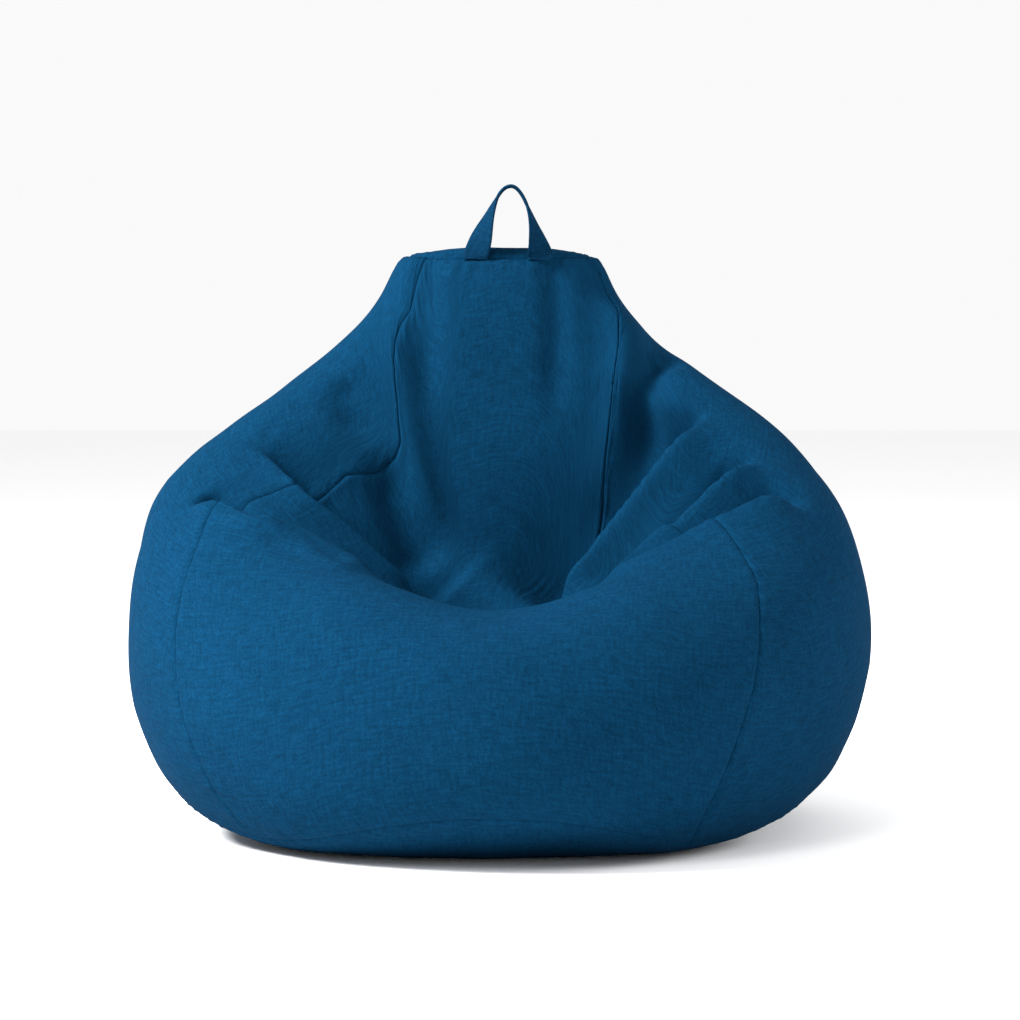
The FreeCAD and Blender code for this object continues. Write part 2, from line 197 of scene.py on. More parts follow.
def around_weights(u):
    """Weights of the poles around, for each value of u: a periodic cubic."""
    weights = np.zeros((len(u), AROUND))
    whole = np.floor(u).astype(int)
    f = u - whole
    four = np.stack([(1 - f) ** 3, 3 * f**3 - 6 * f**2 + 4, -3 * f**3 + 3 * f**2 + 3 * f + 1, f**3])
    for k in range(4):
        np.add.at(weights, (np.arange(len(u)), (whole + k) % AROUND), four[k] / 6.0)
    return weights


def upward_weights(v):
    """Weights of the rows of poles, for each value of v: a cubic that ends on its end poles."""
    knots = np.concatenate([[0.0] * 3, np.arange(V_END + 1.0), [V_END] * 3])
    v = np.clip(v, 0.0, V_END - 1e-9)
    basis = ((v[:, None] >= knots[:-1]) & (v[:, None] < knots[1:])).astype(float)
    for degree in (1, 2, 3):
        raised = np.zeros((len(v), basis.shape[1] - 1))
        for i in range(raised.shape[1]):
            low, high = knots[i + degree] - knots[i], knots[i + degree + 1] - knots[i + 1]
            if low > 0:
                raised[:, i] += (v - knots[i]) / low * basis[:, i]
            if high > 0:
                raised[:, i] += (knots[i + degree + 1] - v) / high * basis[:, i + 1]
        basis = raised
    return basis[:, : TOP_ROW + 1]


def normals_of(points):
    """Unit normals of a grid of points that closes on itself along its first direction."""
    around = np.roll(points, -1, 0) - np.roll(points, 1, 0)
    upward = np.gradient(points, axis=1)
    normal = np.cross(around, upward)
    return normal / np.maximum(np.linalg.norm(normal, axis=2, keepdims=True), TINY)


def surface(u, v):
    """The bag's plain shape at each pair of places around and up it."""
    return np.einsum("ni,nj,ijk->nk", around_weights(u), upward_weights(v), make_poles())


# How the sewn bag differs from the plain shape. Each front seam: places up the bag, and how far
# round it the seam is shifted there.
LEFT_SEAM = (
    (0.0, 1.5, 2.6, 3.6, 5.0, 9.8, 10.3, 10.6, 10.9, 11.3, 11.5, 11.7, 11.9, 12.1, 12.5, 12.9,
     13.3, 15.0),
    (0.36, 0.44, 0.36, 0.14, 0.0, 0.0, -0.1, 0.1, 0.35, 0.6, 0.6, 0.2, -0.3, -0.55, -0.6, -0.5,
     -0.1, 0.0),
)
RIGHT_SEAM = (
    (0.0, 1.5, 3.0, 4.2, 6.3, 8.0, 8.9, 9.15, 9.35, 9.6, 10.1, 10.5, 10.9, 11.4, 12.1, 12.6,
     15.0),
    (-0.30, -0.34, -0.16, 0.0, 0.25, 0.1, -0.25, -0.5, -1.2, -2.4, -2.6, -2.5, -2.0, -0.7, 1.2, 1.9,
     1.7),
)
SEAM_SHIFT_REACH = 5.0
BASE_SEAM_LIFT = 0.24
BASE_SEAM_REACH = 6.5
LIP_SINK = 0.024  # how far the seat's front edge sags below the plain shape, at its middle
LIP_PLACE = Vector((-0.004, -0.300, 0.300))
LIP_REACH = Vector((0.190, 0.150, 0.110))
LEAN_SIDE = 0.3  # from the middle to where a side leans in full
LEAN_END = 0.2  # how far back the lean dies out
# Heights in metres, and how far out each side leans there.
RIGHT_LEAN = (
    (0.0, 0.03, 0.06, 0.09, 0.13, 0.2, 0.43, 0.47, 0.5, 0.54, 0.57, 0.62, 0.65),
    (-0.026, -0.019, -0.016, -0.011, -0.006, 0.0, 0.0, 0.006, 0.009, 0.012, 0.011, 0.003, 0.0),
)
LEFT_LEAN = (
    (0.0, 0.03, 0.06, 0.1, 0.15, 0.34, 0.39, 0.42, 0.46, 0.49, 0.52, 0.55, 0.58, 0.62),
    (0.0, -0.003, -0.006, -0.003, 0.0, 0.0, 0.007, 0.010, 0.008, 0.005, -0.003, -0.008, -0.005,
     0.0),
)


def gap_round(u, place):
    """How far each place round the bag is from another one."""
    return np.abs((u - place + AROUND / 2) % AROUND - AROUND / 2)


def seam_shifts(u, v):
    """Where the cloth's own lines run on the plain shape, for each pair of places."""
    moved = u.copy()
    for seam, run in ((GORE, LEFT_SEAM), (2 * GORE, RIGHT_SEAM)):
        moved += smooth(1.0 - gap_round(u, seam) / SEAM_SHIFT_REACH) * np.interp(v, *run)
    front = smooth(1.0 - gap_round(u, 1.5 * GORE) / BASE_SEAM_REACH)
    return moved, v + BASE_SEAM_LIFT * front * smooth(1.0 - np.abs(v - BASE_SEAM))


def lean_out(points):
    """Moves each side in or out by its height, and lets the seat's front edge sag. The back
    stays, where the zips are."""
    x, y, z = points.T
    side = np.where(x > 0, np.interp(z, *RIGHT_LEAN), -np.interp(z, *LEFT_LEAN))
    share = smooth(np.abs(x) / LEAN_SIDE) * smooth((LEAN_END - y) / LEAN_END)
    near_lip = smooth(1.0 - np.abs(points - LIP_PLACE) / LIP_REACH).prod(axis=1)
    moved = points.copy()
    moved[:, 0] += side * share
    moved[:, 2] -= LIP_SINK * near_lip
    return moved


# Where the bag is seen from, and its stage -------------------------------------------------

EYE_DISTANCE = 4.5
EYE_LIFT = math.radians(3.2)
AIM = Vector((0.012, 0.0, 0.384))
EYE = AIM + EYE_DISTANCE * Vector((0.0, -1.0, math.tan(EYE_LIFT)))
PICTURE_WIDTH = 1.240  # what the camera takes in at the bag's middle
LIT_PLACE = Vector((0.0, 0.0, 0.3))  # what the lights point at
HALF_FLOOR = 14.0  # from the floor's middle to its edges


# Folds -------------------------------------------------------------------------------------
#
# A fold is drawn as a line in the upright plane through the bag's middle, x to the right and
# z up, as seen from in front. It is dropped along the line of sight onto the bag's front.
# Lines run from left to right or downwards, so a line's far side is its left-hand side.


def swell(line, height, width, fade=(0.3, 0.3)):
    """A round ridge, or a round valley where the height is negative."""
    return {"line": line, "height": height, "depth": 0.0, "near": width, "far": width,
            "lean": 0.0, "fade": fade}


def tuck(line, height, depth, near, far, lean=0.0, fade=(0.1, 0.1)):
    """A deep fold behind a roll. The line is the roll's edge, which leans over the fold. The
    roll falls away over the near width, and beyond the fold the cloth rises over the far one."""
    return {"line": line, "height": height, "depth": depth, "near": near, "far": far,
            "lean": lean, "fade": fade}


TUCK_STEP = 0.011  # how far beyond a roll's edge its fold is deepest
FOLD_REACH = 3.0  # how far a fold still moves the cloth, in its own widths
LONGEST_STEP = 0.060  # between neighbouring points of a fold's line
ROUTE_POINTS = 48
ROUTE_PASSES = 4
STEEPEST_SIGHT = -0.3  # the least the cloth is taken to face the eye where it is sought
ROLL_FADE = 0.18  # the share of a roll's length over which it sinks at each end
FACING_FROM = 0.05  # a fold leaves cloth that is turned further away from it than this
FACING_SPAN = 0.4

FOLDS = [
    # left arm: the deep fold, the thin roll's fold, the front roll's soft edge and a dent
    tuck([(-0.325, 0.490), (-0.291, 0.479), (-0.264, 0.458), (-0.232, 0.413), (-0.209, 0.395),
          (-0.178, 0.371), (-0.146, 0.342), (-0.119, 0.316), (-0.069, 0.268)],
         0.022, 0.056, 0.022, 0.052, 0.008, (0.40, 0.04)),
    tuck([(-0.389, 0.412), (-0.331, 0.401), (-0.302, 0.382), (-0.255, 0.372), (-0.209, 0.346),
          (-0.158, 0.308), (-0.128, 0.290)], 0.018, 0.036, 0.030, 0.022, 0.009, (0.08, 0.20)),
    swell([(-0.354, 0.372), (-0.293, 0.360), (-0.214, 0.326), (-0.151, 0.298), (-0.100, 0.275)],
          0.006, 0.012),
    swell([(-0.362, 0.392), (-0.335, 0.384), (-0.306, 0.376)], -0.014, 0.010),
    # left of the back: the shoulder's hollows and the groove down into the seat
    swell([(-0.200, 0.540), (-0.180, 0.500), (-0.152, 0.450)], -0.011, 0.026, (0.3, 0.5)),
    swell([(-0.158, 0.460), (-0.132, 0.388), (-0.104, 0.335), (-0.080, 0.300)],
          -0.018, 0.024, (0.4, 0.2)),
    # right arm, from the pit outwards: the wide valley beside the back, two rolls, the lip
    tuck([(0.051, 0.278), (0.084, 0.321), (0.114, 0.3635), (0.151, 0.4085), (0.192, 0.460),
          (0.235, 0.508), (0.261, 0.535)], 0.022, 0.085, 0.022, 0.075, 0.010, (0.10, 0.22)),
    tuck([(0.0997, 0.287), (0.129, 0.312), (0.169, 0.348), (0.210, 0.388), (0.261, 0.435),
          (0.302, 0.463), (0.331, 0.479)], 0.022, 0.046, 0.017, 0.032, 0.009, (0.15, 0.22)),
    tuck([(0.120, 0.297), (0.142, 0.306), (0.165, 0.319), (0.196, 0.341), (0.241, 0.372),
          (0.289, 0.396), (0.331, 0.413), (0.388, 0.411)],
         0.018, 0.052, 0.040, 0.030, 0.009, (0.12, 0.10)),
    swell([(0.176, 0.562), (0.219, 0.564)], -0.010, 0.014),
    # right of the back: its full edge and the hollow outside it
    swell([(0.130, 0.660), (0.150, 0.610), (0.152, 0.560), (0.138, 0.490), (0.118, 0.410),
           (0.090, 0.340)], 0.014, 0.022, (0.15, 0.3)),
    swell([(0.180, 0.640), (0.192, 0.590), (0.184, 0.542), (0.172, 0.494), (0.152, 0.440),
           (0.130, 0.384), (0.100, 0.340)], -0.022, 0.022, (0.3, 0.2)),
    # left of the back: its full edge
    swell([(-0.128, 0.640), (-0.127, 0.580), (-0.112, 0.500), (-0.098, 0.430), (-0.070, 0.340)],
          0.010, 0.022, (0.2, 0.3)),
    # the back's soft upright waves
    swell([(-0.085, 0.690), (-0.088, 0.600), (-0.084, 0.480)], -0.007, 0.020, (0.1, 0.4)),
    swell([(0.062, 0.690), (0.068, 0.600), (0.066, 0.470)], -0.008, 0.018, (0.1, 0.4)),
]


def along_line(points, count):
    """Points evenly spaced by number along a smooth curve through the given ones."""
    points = np.array(points, float)
    padded = np.vstack([2 * points[0] - points[1], points, 2 * points[-1] - points[-2]])
    t = np.linspace(0.0, len(points) - 1.0, count)
    i = np.minimum(t.astype(int), len(points) - 2)
    return curve_through(*(padded[i + k] for k in range(4)), (t - i)[:, None])


def sight_on(tree, x, z):
    """Where the line of sight through a place in the upright plane meets the bag."""
    place, normal, _, _ = tree.ray_cast(EYE, (Vector((x, 0.0, z)) - EYE).normalized())
    return place, normal


def evened(points):
    """A row of points with the jitter between neighbours taken out. Its ends stay."""
    for _ in range(ROUTE_PASSES):
        points = points.copy()
        points[1:-1] = (points[:-2] + 2.0 * points[1:-1] + points[2:]) / 4.0
    return points


def drop_on(tree, fold):
    """The points of a fold's line on the bag, and the normals there. Each is the point that,
    once the fold has raised it and leaned it over, is seen on the line."""
    line = along_line(fold["line"], ROUTE_POINTS)
    runs = np.gradient(line, axis=0)
    runs /= np.linalg.norm(runs, axis=1, keepdims=True)
    found, normals = [], []
    for (x, z), (run_x, run_z) in zip(line, runs):
        seen, normal = sight_on(tree, x, z)
        if normal is None:
            continue
        raised = fold["height"] * normal + fold["lean"] * Vector((-run_z, 0.0, run_x))
        place, its_normal = sight_on(tree, x - raised.x, z - raised.z)
        if place is None or (place - seen).length > LONGEST_STEP:
            # it is hidden behind a nearer edge, so it is sought along the cloth instead
            sight = (seen - EYE).normalized()
            back = sight * (raised.dot(normal) / min(sight.dot(normal), STEEPEST_SIGHT))
            place, its_normal, _, _ = tree.find_nearest(seen - raised + back)
        found.append(place)
        normals.append(its_normal)
    found, normals = np.array(found), np.array(normals)
    # the line may pass over an edge to the cloth far behind it: only its longest run is kept
    breaks = np.nonzero(np.linalg.norm(np.diff(found, axis=0), axis=1) > LONGEST_STEP)[0] + 1
    runs = np.split(np.arange(len(found)), breaks)
    kept = max(runs, key=len)
    return evened(found[kept]), evened(normals[kept])


def fold_moves(fold, points, normals, tree):
    """How far a fold moves each of the bag's points, as vectors in metres."""
    route, route_normals = drop_on(tree, fold)
    if len(route) < 2:
        raise RuntimeError("a fold's line misses the bag")
    steps = np.linalg.norm(np.diff(route, axis=0), axis=1)
    length = np.concatenate([[0.0], np.cumsum(steps)])
    reach = FOLD_REACH * max(fold["far"], fold["near"])
    low, high = route.min(0) - reach, route.max(0) + reach
    close = np.nonzero(((points > low) & (points < high)).all(1))[0]
    p, n = points[close], normals[close]
    best = np.full(len(close), FAR_AWAY)
    at, side, facing = np.zeros((3, len(close)))
    across = np.zeros((len(close), 3))
    for k in range(len(steps)):
        run = route[k + 1] - route[k]
        share = np.clip((p - route[k]) @ run / max(run @ run, TINY), 0.0, 1.0)
        offset = p - (route[k] + share[:, None] * run)
        distance = np.linalg.norm(offset, axis=1)
        closer = distance < best
        over = np.cross(route_normals[k], run)
        over /= np.linalg.norm(over)
        best[closer] = distance[closer]
        at[closer] = (length[k] + share * steps[k])[closer]
        side[closer] = (offset @ over)[closer]
        facing[closer] = (n @ route_normals[k])[closer]
        across[closer] = over
    t = at / length[-1]
    fade_in, fade_out = fold["fade"]
    ends = smooth(t / fade_in) * smooth((1.0 - t) / fade_out)
    ends = ends * smooth((facing - FACING_FROM) / FACING_SPAN)
    height, depth, near, far = (fold[key] for key in ("height", "depth", "near", "far"))
    far_side = side > 0
    if depth:
        height = height * smooth(t / ROLL_FADE) * smooth((1.0 - t) / ROLL_FADE)
        step = smooth(best / TUCK_STEP)
        beyond = np.maximum(best - TUCK_STEP, 0.0)
        fallen = height * (1.0 - step) - depth * step * np.exp(-((beyond / far) ** 1.4))
    else:
        fallen = height * np.exp(-((best / far) ** 2))
    roll = np.exp(-((best / near) ** 2))
    out = np.where(far_side, fallen, height * roll)
    leaning = fold["lean"] * np.where(far_side, 1.0 - smooth(best / TUCK_STEP), roll)
    moves = np.zeros_like(points)
    moves[close] = ends[:, None] * (out[:, None] * n + leaning[:, None] * across)
    return moves


def grid_tree(points):
    """A search tree over a grid of points that closes on itself along its first direction."""
    count, rows = points.shape[:2]
    i, j = np.meshgrid(np.arange(count), np.arange(rows - 1), indexing="ij")
    after = (i + 1) % count
    quads = np.stack([i * rows + j, after * rows + j, after * rows + j + 1, i * rows + j + 1], -1)
    places = [Vector(p) for p in points.reshape(-1, 3)]
    return BVHTree.FromPolygons(places, quads.reshape(-1, 4).tolist())


# The sewn cover's grid ------------------------------------------------------------------

SEAM_STEPS = (-0.075, -0.045, -0.025, -0.01, 0.0, 0.01, 0.025, 0.045, 0.075)
SEAM_CLEAR = 0.1
COVER_SLOT = (0.2375, 0.2525)  # heights of the edges of the gap for the cover's zip
LINER_SLOT = (0.208, 0.220)
SLOT_CLEAR = 0.03
FRONT_END = 19  # where the closer lines over the front end, and where they start again
FRONT_START = 37
DISC_RINGS = 14
LINER_SMOOTHING = 2  # in lines of the thinned grid
LINER_INSET = 0.0100
LINER_CLOTH = 0.0012
FILLING_INSET = 0.0130
LINER_FLOOR = 0.0032  # how high the liner's outer face lies where it rests on the base
FLOOR_STEP = 0.0010  # from there to its inner face, and from that to the filling
GORES = ("front", "right", "back", "left")
BACK_MIDDLE = 3.5 * GORE
LEVELS_SEARCHED = (2.0, 8.0, 600)  # from, to and how many
SEAM_GROOVE = 0.0022  # half the width of the line where two panels meet
SEAM_RIDGE_AT = 0.009  # from the seam to the low ridge of the cloth folded under beside it
SEAM_RIDGE = 0.007
PUCKER_REACH = 0.022
PUCKER_CLEAR = 0.003
PUCKER_LENGTH = 0.021
LONG_PUCKER_LENGTH = 0.047


def seam_lines(plain, seams):
    """Evenly spaced lines, with closer ones along each seam."""
    for seam in seams:
        plain = plain[np.abs(plain - seam) > SEAM_CLEAR]
        plain = np.append(plain, seam + np.array(SEAM_STEPS))
    return np.unique(np.round(plain, 6))


def level_of(height):
    """How far up the back's plain shape a height is."""
    v = np.linspace(*LEVELS_SEARCHED)
    z = surface(np.full(len(v), BACK_MIDDLE), v)[:, 2]
    return float(np.interp(height, z, v))


def bag_lines():
    """Where the grid's lines run round the bag, from its front left seam, and up it. They are
    closer over the front, where the folds are."""
    fine, coarse, rows = ((18, 9, 17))
    first, last = GORE, GORE + AROUND
    spans = ((first, FRONT_END, fine), (FRONT_END, FRONT_START, coarse),
             (FRONT_START, last, fine))
    around = np.concatenate([np.linspace(a, b, (b - a) * n + 1)[:-1] for a, b, n in spans])
    around = seam_lines(around, range(first, last + 1, GORE))
    around = around[(around >= first) & (around < last)]
    upward = seam_lines(np.linspace(0.0, V_END, int(V_END) * rows + 1), (BASE_SEAM, TOP_SEAM))
    slots = [level_of(z) for z in COVER_SLOT + LINER_SLOT]
    for slot in slots:
        upward = upward[np.abs(upward - slot) > SLOT_CLEAR]
    return around, np.unique(np.append(upward, slots))


def along_rows(points):
    """Distances run round each row of a closed grid, from its first column."""
    steps = np.linalg.norm(np.roll(points, -1, 0) - points, axis=2)
    return np.vstack([np.zeros(points.shape[1]), np.cumsum(steps, 0)])[:-1]


def up_columns(points):
    """Distances run up each column of a grid, from its first row."""
    steps = np.linalg.norm(np.diff(points, axis=1), axis=2)
    return np.hstack([np.zeros((len(points), 1)), np.cumsum(steps, 1)])


def seam_distances(points, u, v):
    """How far each point is from the nearest upright seam and the nearest round one, and the
    places along them, in metres."""
    around, upward = along_rows(points), up_columns(points)
    whole = around[-1] + np.linalg.norm(points[0] - points[-1], axis=1)
    side = np.full(points.shape[:2], FAR_AWAY)
    for seam in range(GORE, GORE + AROUND, GORE):
        at = np.argmin(np.abs(u - seam))
        gap = np.abs(around - around[at])
        side = np.minimum(side, np.minimum(gap, whole - gap))
    ends = np.full(points.shape[:2], FAR_AWAY)
    for seam in (BASE_SEAM, TOP_SEAM):
        at = np.argmin(np.abs(v - seam))
        ends = np.minimum(ends, np.abs(upward - upward[:, at : at + 1]))
    return side, ends, around, upward


def seam_relief(points, u, v, look):
    """How the cloth pulls in along its seams, puckers beside them and lies unevenly."""
    side, ends, around, upward = seam_distances(points, u, v)
    inside = (v > BASE_SEAM - 0.02) & (v < TOP_SEAM + 0.02)
    side = np.where(inside, side, FAR_AWAY)
    out = np.zeros(points.shape[:2])
    depth = look.seam_depth
    for distance, along in ((side, upward), (ends, around)):
        out -= depth * np.exp(-((distance / SEAM_GROOVE) ** 1.2))
        out += 0.35 * depth * np.exp(-(((distance - SEAM_RIDGE_AT) / SEAM_RIDGE) ** 2))
        wave = np.sin(along * 2 * math.pi / PUCKER_LENGTH + 3.0 * np.sin(along * 9.0))
        wave += 0.7 * np.sin(along * 2 * math.pi / LONG_PUCKER_LENGTH + 2.0 * np.sin(along * 5.0))
        fade = np.exp(-((distance / PUCKER_REACH) ** 2))
        fade = fade * (1.0 - np.exp(-((distance / PUCKER_CLEAR) ** 2)))
        out += look.pucker * wave * fade
    x, y, z = np.moveaxis(points, 2, 0)
    uneven = np.sin(9.0 * x + 4.0 * z + 1.3) * np.sin(13.0 * z - 6.0 * y + 0.4)
    uneven += 0.7 * np.sin(23.0 * x - 11.0 * z + 2.1) * np.sin(19.0 * z + 15.0 * y)
    uneven += 0.4 * np.sin(41.0 * x + 31.0 * y) * np.sin(37.0 * z + 17.0 * x)
    return out + look.uneven * uneven


def either_side(values, axis):
    """Each value's two neighbours along a direction of a closed grid. Its open ends are their
    own neighbours."""
    ahead, behind = np.roll(values, 1, axis), np.roll(values, -1, axis)
    if axis:
        ahead[:, 0], behind[:, -1] = values[:, 0], values[:, -1]
    return ahead, behind


def lowest_near(values, reach):
    """The least of a closed grid's values round each point, then smoothed within that."""
    for axis in (0, 1):
        for _ in range(reach):
            values = np.minimum(values, np.minimum(*either_side(values, axis)))
    for _ in range(reach):
        for axis in (0, 1):
            ahead, behind = either_side(values, axis)
            values = (ahead + values + behind) / 3.0
    return values


def eased(moves):
    """A closed grid of moves, each averaged with its neighbours'."""
    for _ in range(2):
        moves = moves / 2.0 + (np.roll(moves, 1, 0) + np.roll(moves, -1, 0)) / 4.0
        inner = moves[:, 1:-1] / 2.0 + (moves[:, 2:] + moves[:, :-2]) / 4.0
        moves = np.concatenate([moves[:, :1], inner, moves[:, -1:]], axis=1)
    return moves


@functools.lru_cache(maxsize=1)
def bag_grid():
    """The whole bag as grids of points: the plain shape, its normals and the cover's cloth."""
    look = bpy.context.scene.bean_bag.cover
    u, v = bag_lines()
    pairs = [g.ravel() for g in np.meshgrid(u, v, indexing="ij")]
    flat = lean_out(surface(*seam_shifts(*pairs)))
    plain = flat.reshape(len(u), len(v), 3)
    normals = normals_of(plain)
    tree = grid_tree(plain)
    moves = sum(fold_moves(f, flat, normals.reshape(-1, 3), tree) for f in FOLDS)
    folded = plain + eased(moves.reshape(plain.shape))
    relief = seam_relief(folded, u, v, look)
    cover = folded + relief[..., None] * normals_of(folded)
    cover[..., 2] = np.maximum(cover[..., 2], 0.0)
    depth = ((cover - plain) * normals).sum(2)
    return {"u": u, "v": v, "plain": plain, "normals": normals, "cover": cover, "depth": depth}


def with_discs(points):
    """Adds rings that close a grid's two ends, shrinking to their middles."""
    shares = np.cos(np.linspace(0.0, math.pi / 2.0, DISC_RINGS + 1)[1:-1]) ** 0.7
    ends = []
    for ring in (points[:, 0], points[:, -1]):
        middle = ring.mean(0)
        ends.append(middle + shares[None, :, None] * (ring - middle)[:, None, :])
    return np.concatenate([ends[0][:, ::-1], points, ends[1]], axis=1)


def inset(grid, distance, floor, smoothness=0):
    """The bag's grid moved inwards, below every fold when it is smoothed."""
    if smoothness:
        moved = grid["plain"] + grid["normals"] * (
            lowest_near(np.minimum(grid["depth"], 0.0), smoothness)[..., None] - distance
        )
    else:
        moved = grid["cover"] - distance * normals_of(grid["cover"])
    moved[..., 2] = np.maximum(moved[..., 2], floor)
    return moved


def thinned(grid):
    """The bag's grid with half its lines, those of the seams and the zips among them."""
    u, v = grid["u"], grid["v"]
    kept = [np.isclose(u, np.round(u / GORE) * GORE), np.zeros(len(v), bool)]
    for level in [BASE_SEAM, TOP_SEAM] + [level_of(z) for z in COVER_SLOT + LINER_SLOT]:
        kept[1][np.argmin(np.abs(v - level))] = True
    columns, rows = (np.nonzero((np.arange(len(k)) % 2 == 0) | k)[0] for k in kept)
    cut = np.ix_(columns, rows)
    thin = {name: grid[name][cut] for name in ("plain", "normals", "cover", "depth")}
    return {"u": u[columns], "v": v[rows], **thin}


def quads_of(columns, rows, closed):
    """Four-sided faces over a grid of numbered points."""
    numbers = np.arange(columns * rows).reshape(columns, rows)
    if closed:
        numbers = np.vstack([numbers, numbers[:1]])
    corners = (numbers[:-1, :-1], numbers[1:, :-1], numbers[1:, 1:], numbers[:-1, 1:])
    return np.stack(corners, -1).reshape(-1, 4)


def edge_of(columns, rows, closed):
    """The numbers of the points round the open edges of a grid, each as a loop."""
    numbers = np.arange(columns * rows).reshape(columns, rows)
    if closed:
        return [numbers[:, 0], numbers[::-1, -1]]
    return [np.concatenate([numbers[:, 0], numbers[-1, 1:], numbers[-2::-1, -1],
                            numbers[0, -2:0:-1]])]


def cloth_piece(name, outer, inner, lengths, closed=False, middle=None):
    """A closed piece of cloth between two grids. A closed grid whose first or last ring is
    its middle is filled in there."""
    columns, rows = outer.shape[:2]
    count = columns * rows
    quads = quads_of(columns, rows, closed)
    faces = quads.tolist() + (quads[:, ::-1] + count).tolist()
    loops = edge_of(columns, rows, closed)
    if middle is not None:
        ring = loops.pop(0 if middle == "first" else 1)
        faces += [ring[::-1].tolist(), (ring + count).tolist()]
    for loop in loops:
        after = np.roll(loop, -1)
        faces += np.stack([after, loop, loop + count, after + count], -1).tolist()
    points = np.concatenate([outer.reshape(-1, 3), inner.reshape(-1, 3)])
    return mesh_piece(name, points, faces, np.tile(lengths.reshape(-1, 2), (2, 1)), 80.0)


def mesh_piece(name, points, faces, lengths=None, sharp=60.0):
    """Puts a smooth piece in the scene, with edges sharper than an angle in degrees kept. The
    lengths are each point's place on the flat cloth that it was cut from."""
    mesh = bpy.data.meshes.new(name)
    mesh.from_pydata(np.asarray(points).tolist(), [], faces)
    if lengths is not None:
        corners = np.zeros(len(mesh.loops), int)
        mesh.loops.foreach_get("vertex_index", corners)
        mesh.uv_layers.new(name="Cut").data.foreach_set("uv", lengths[corners].ravel())
    mesh.shade_smooth()
    mesh.set_sharp_from_angle(angle=math.radians(sharp))
    mesh.validate()
    made = bpy.data.objects.new(name, mesh)
    bpy.context.scene.collection.objects.link(made)
    return made


def cut_lengths(points, middle):
    """Each point's place on the flat cloth that a side panel was cut from."""
    steps = np.linalg.norm(np.diff(points, axis=0), axis=2)
    across = np.vstack([np.zeros(points.shape[1]), np.cumsum(steps, 0)])
    across -= across[middle]
    return np.stack([across, up_columns(points)], -1)


def side_panels(outer, inner, u, v, slot):
    """The four side panels' grids: their names, both faces and places on the flat cloth. The
    back one comes in two, below and above its zip."""
    low, high = (np.argmin(np.abs(v - end)) for end in (BASE_SEAM, TOP_SEAM))
    below, above = (np.argmin(np.abs(v - level_of(z))) for z in slot)
    for k, gore in enumerate(GORES, 1):
        start = np.argmin(np.abs(u - k * GORE))
        last = len(u) if gore == "left" else np.argmin(np.abs(u - (k + 1) * GORE))
        columns = np.arange(start, last + 1) % len(u)
        spans = ((gore, low, high),)
        if gore == "back":
            spans = (("back_lower", low, below), ("back_upper", above, high))
        for name, first, end in spans:
            cut = np.ix_(columns, np.arange(first, end + 1))
            lengths = cut_lengths(outer[cut], len(columns) // 2)
            yield name, outer[cut], inner[cut], lengths


def make_panels(prefix, outer, inner, u, v, slot):
    """All seven panels of the cover or the liner."""
    made = []
    for name, above, below, lengths in side_panels(outer, inner, u, v, slot):
        made.append((name, cloth_piece(f"{prefix}_{name}", above, below, lengths)))
    rings = DISC_RINGS - 1
    low = rings + np.argmin(np.abs(v - BASE_SEAM))
    high = rings + np.argmin(np.abs(v - TOP_SEAM))
    whole, lining = with_discs(outer), with_discs(inner)
    for name, rows, middle in (("base", slice(0, low + 1), "first"),
                               ("top", slice(high, None), "last")):
        above, below = whole[:, rows], lining[:, rows]
        made.append((name, cloth_piece(f"{prefix}_{name}", above, below, above[..., :2],
                                       closed=True, middle=middle)))
    return made


# Finishes -------------------------------------------------------------------------------


class Value:
    """What comes out of a node, with arithmetic that adds nodes."""

    def __init__(self, finish, socket):
        self.finish, self.socket = finish, socket

    def _sum(self, operation, first, second=None):
        inputs = {0: first} if second is None else {0: first, 1: second}
        return self.finish.node("ShaderNodeMath", {"operation": operation}, inputs)

    def __add__(self, other):
        return self._sum("ADD", self, other)

    def __radd__(self, other):
        return self._sum("ADD", other, self)

    def __sub__(self, other):
        return self._sum("SUBTRACT", self, other)

    def __rsub__(self, other):
        return self._sum("SUBTRACT", other, self)

    def __mul__(self, other):
        return self._sum("MULTIPLY", self, other)

    def sine(self):
        return self._sum("SINE", self)


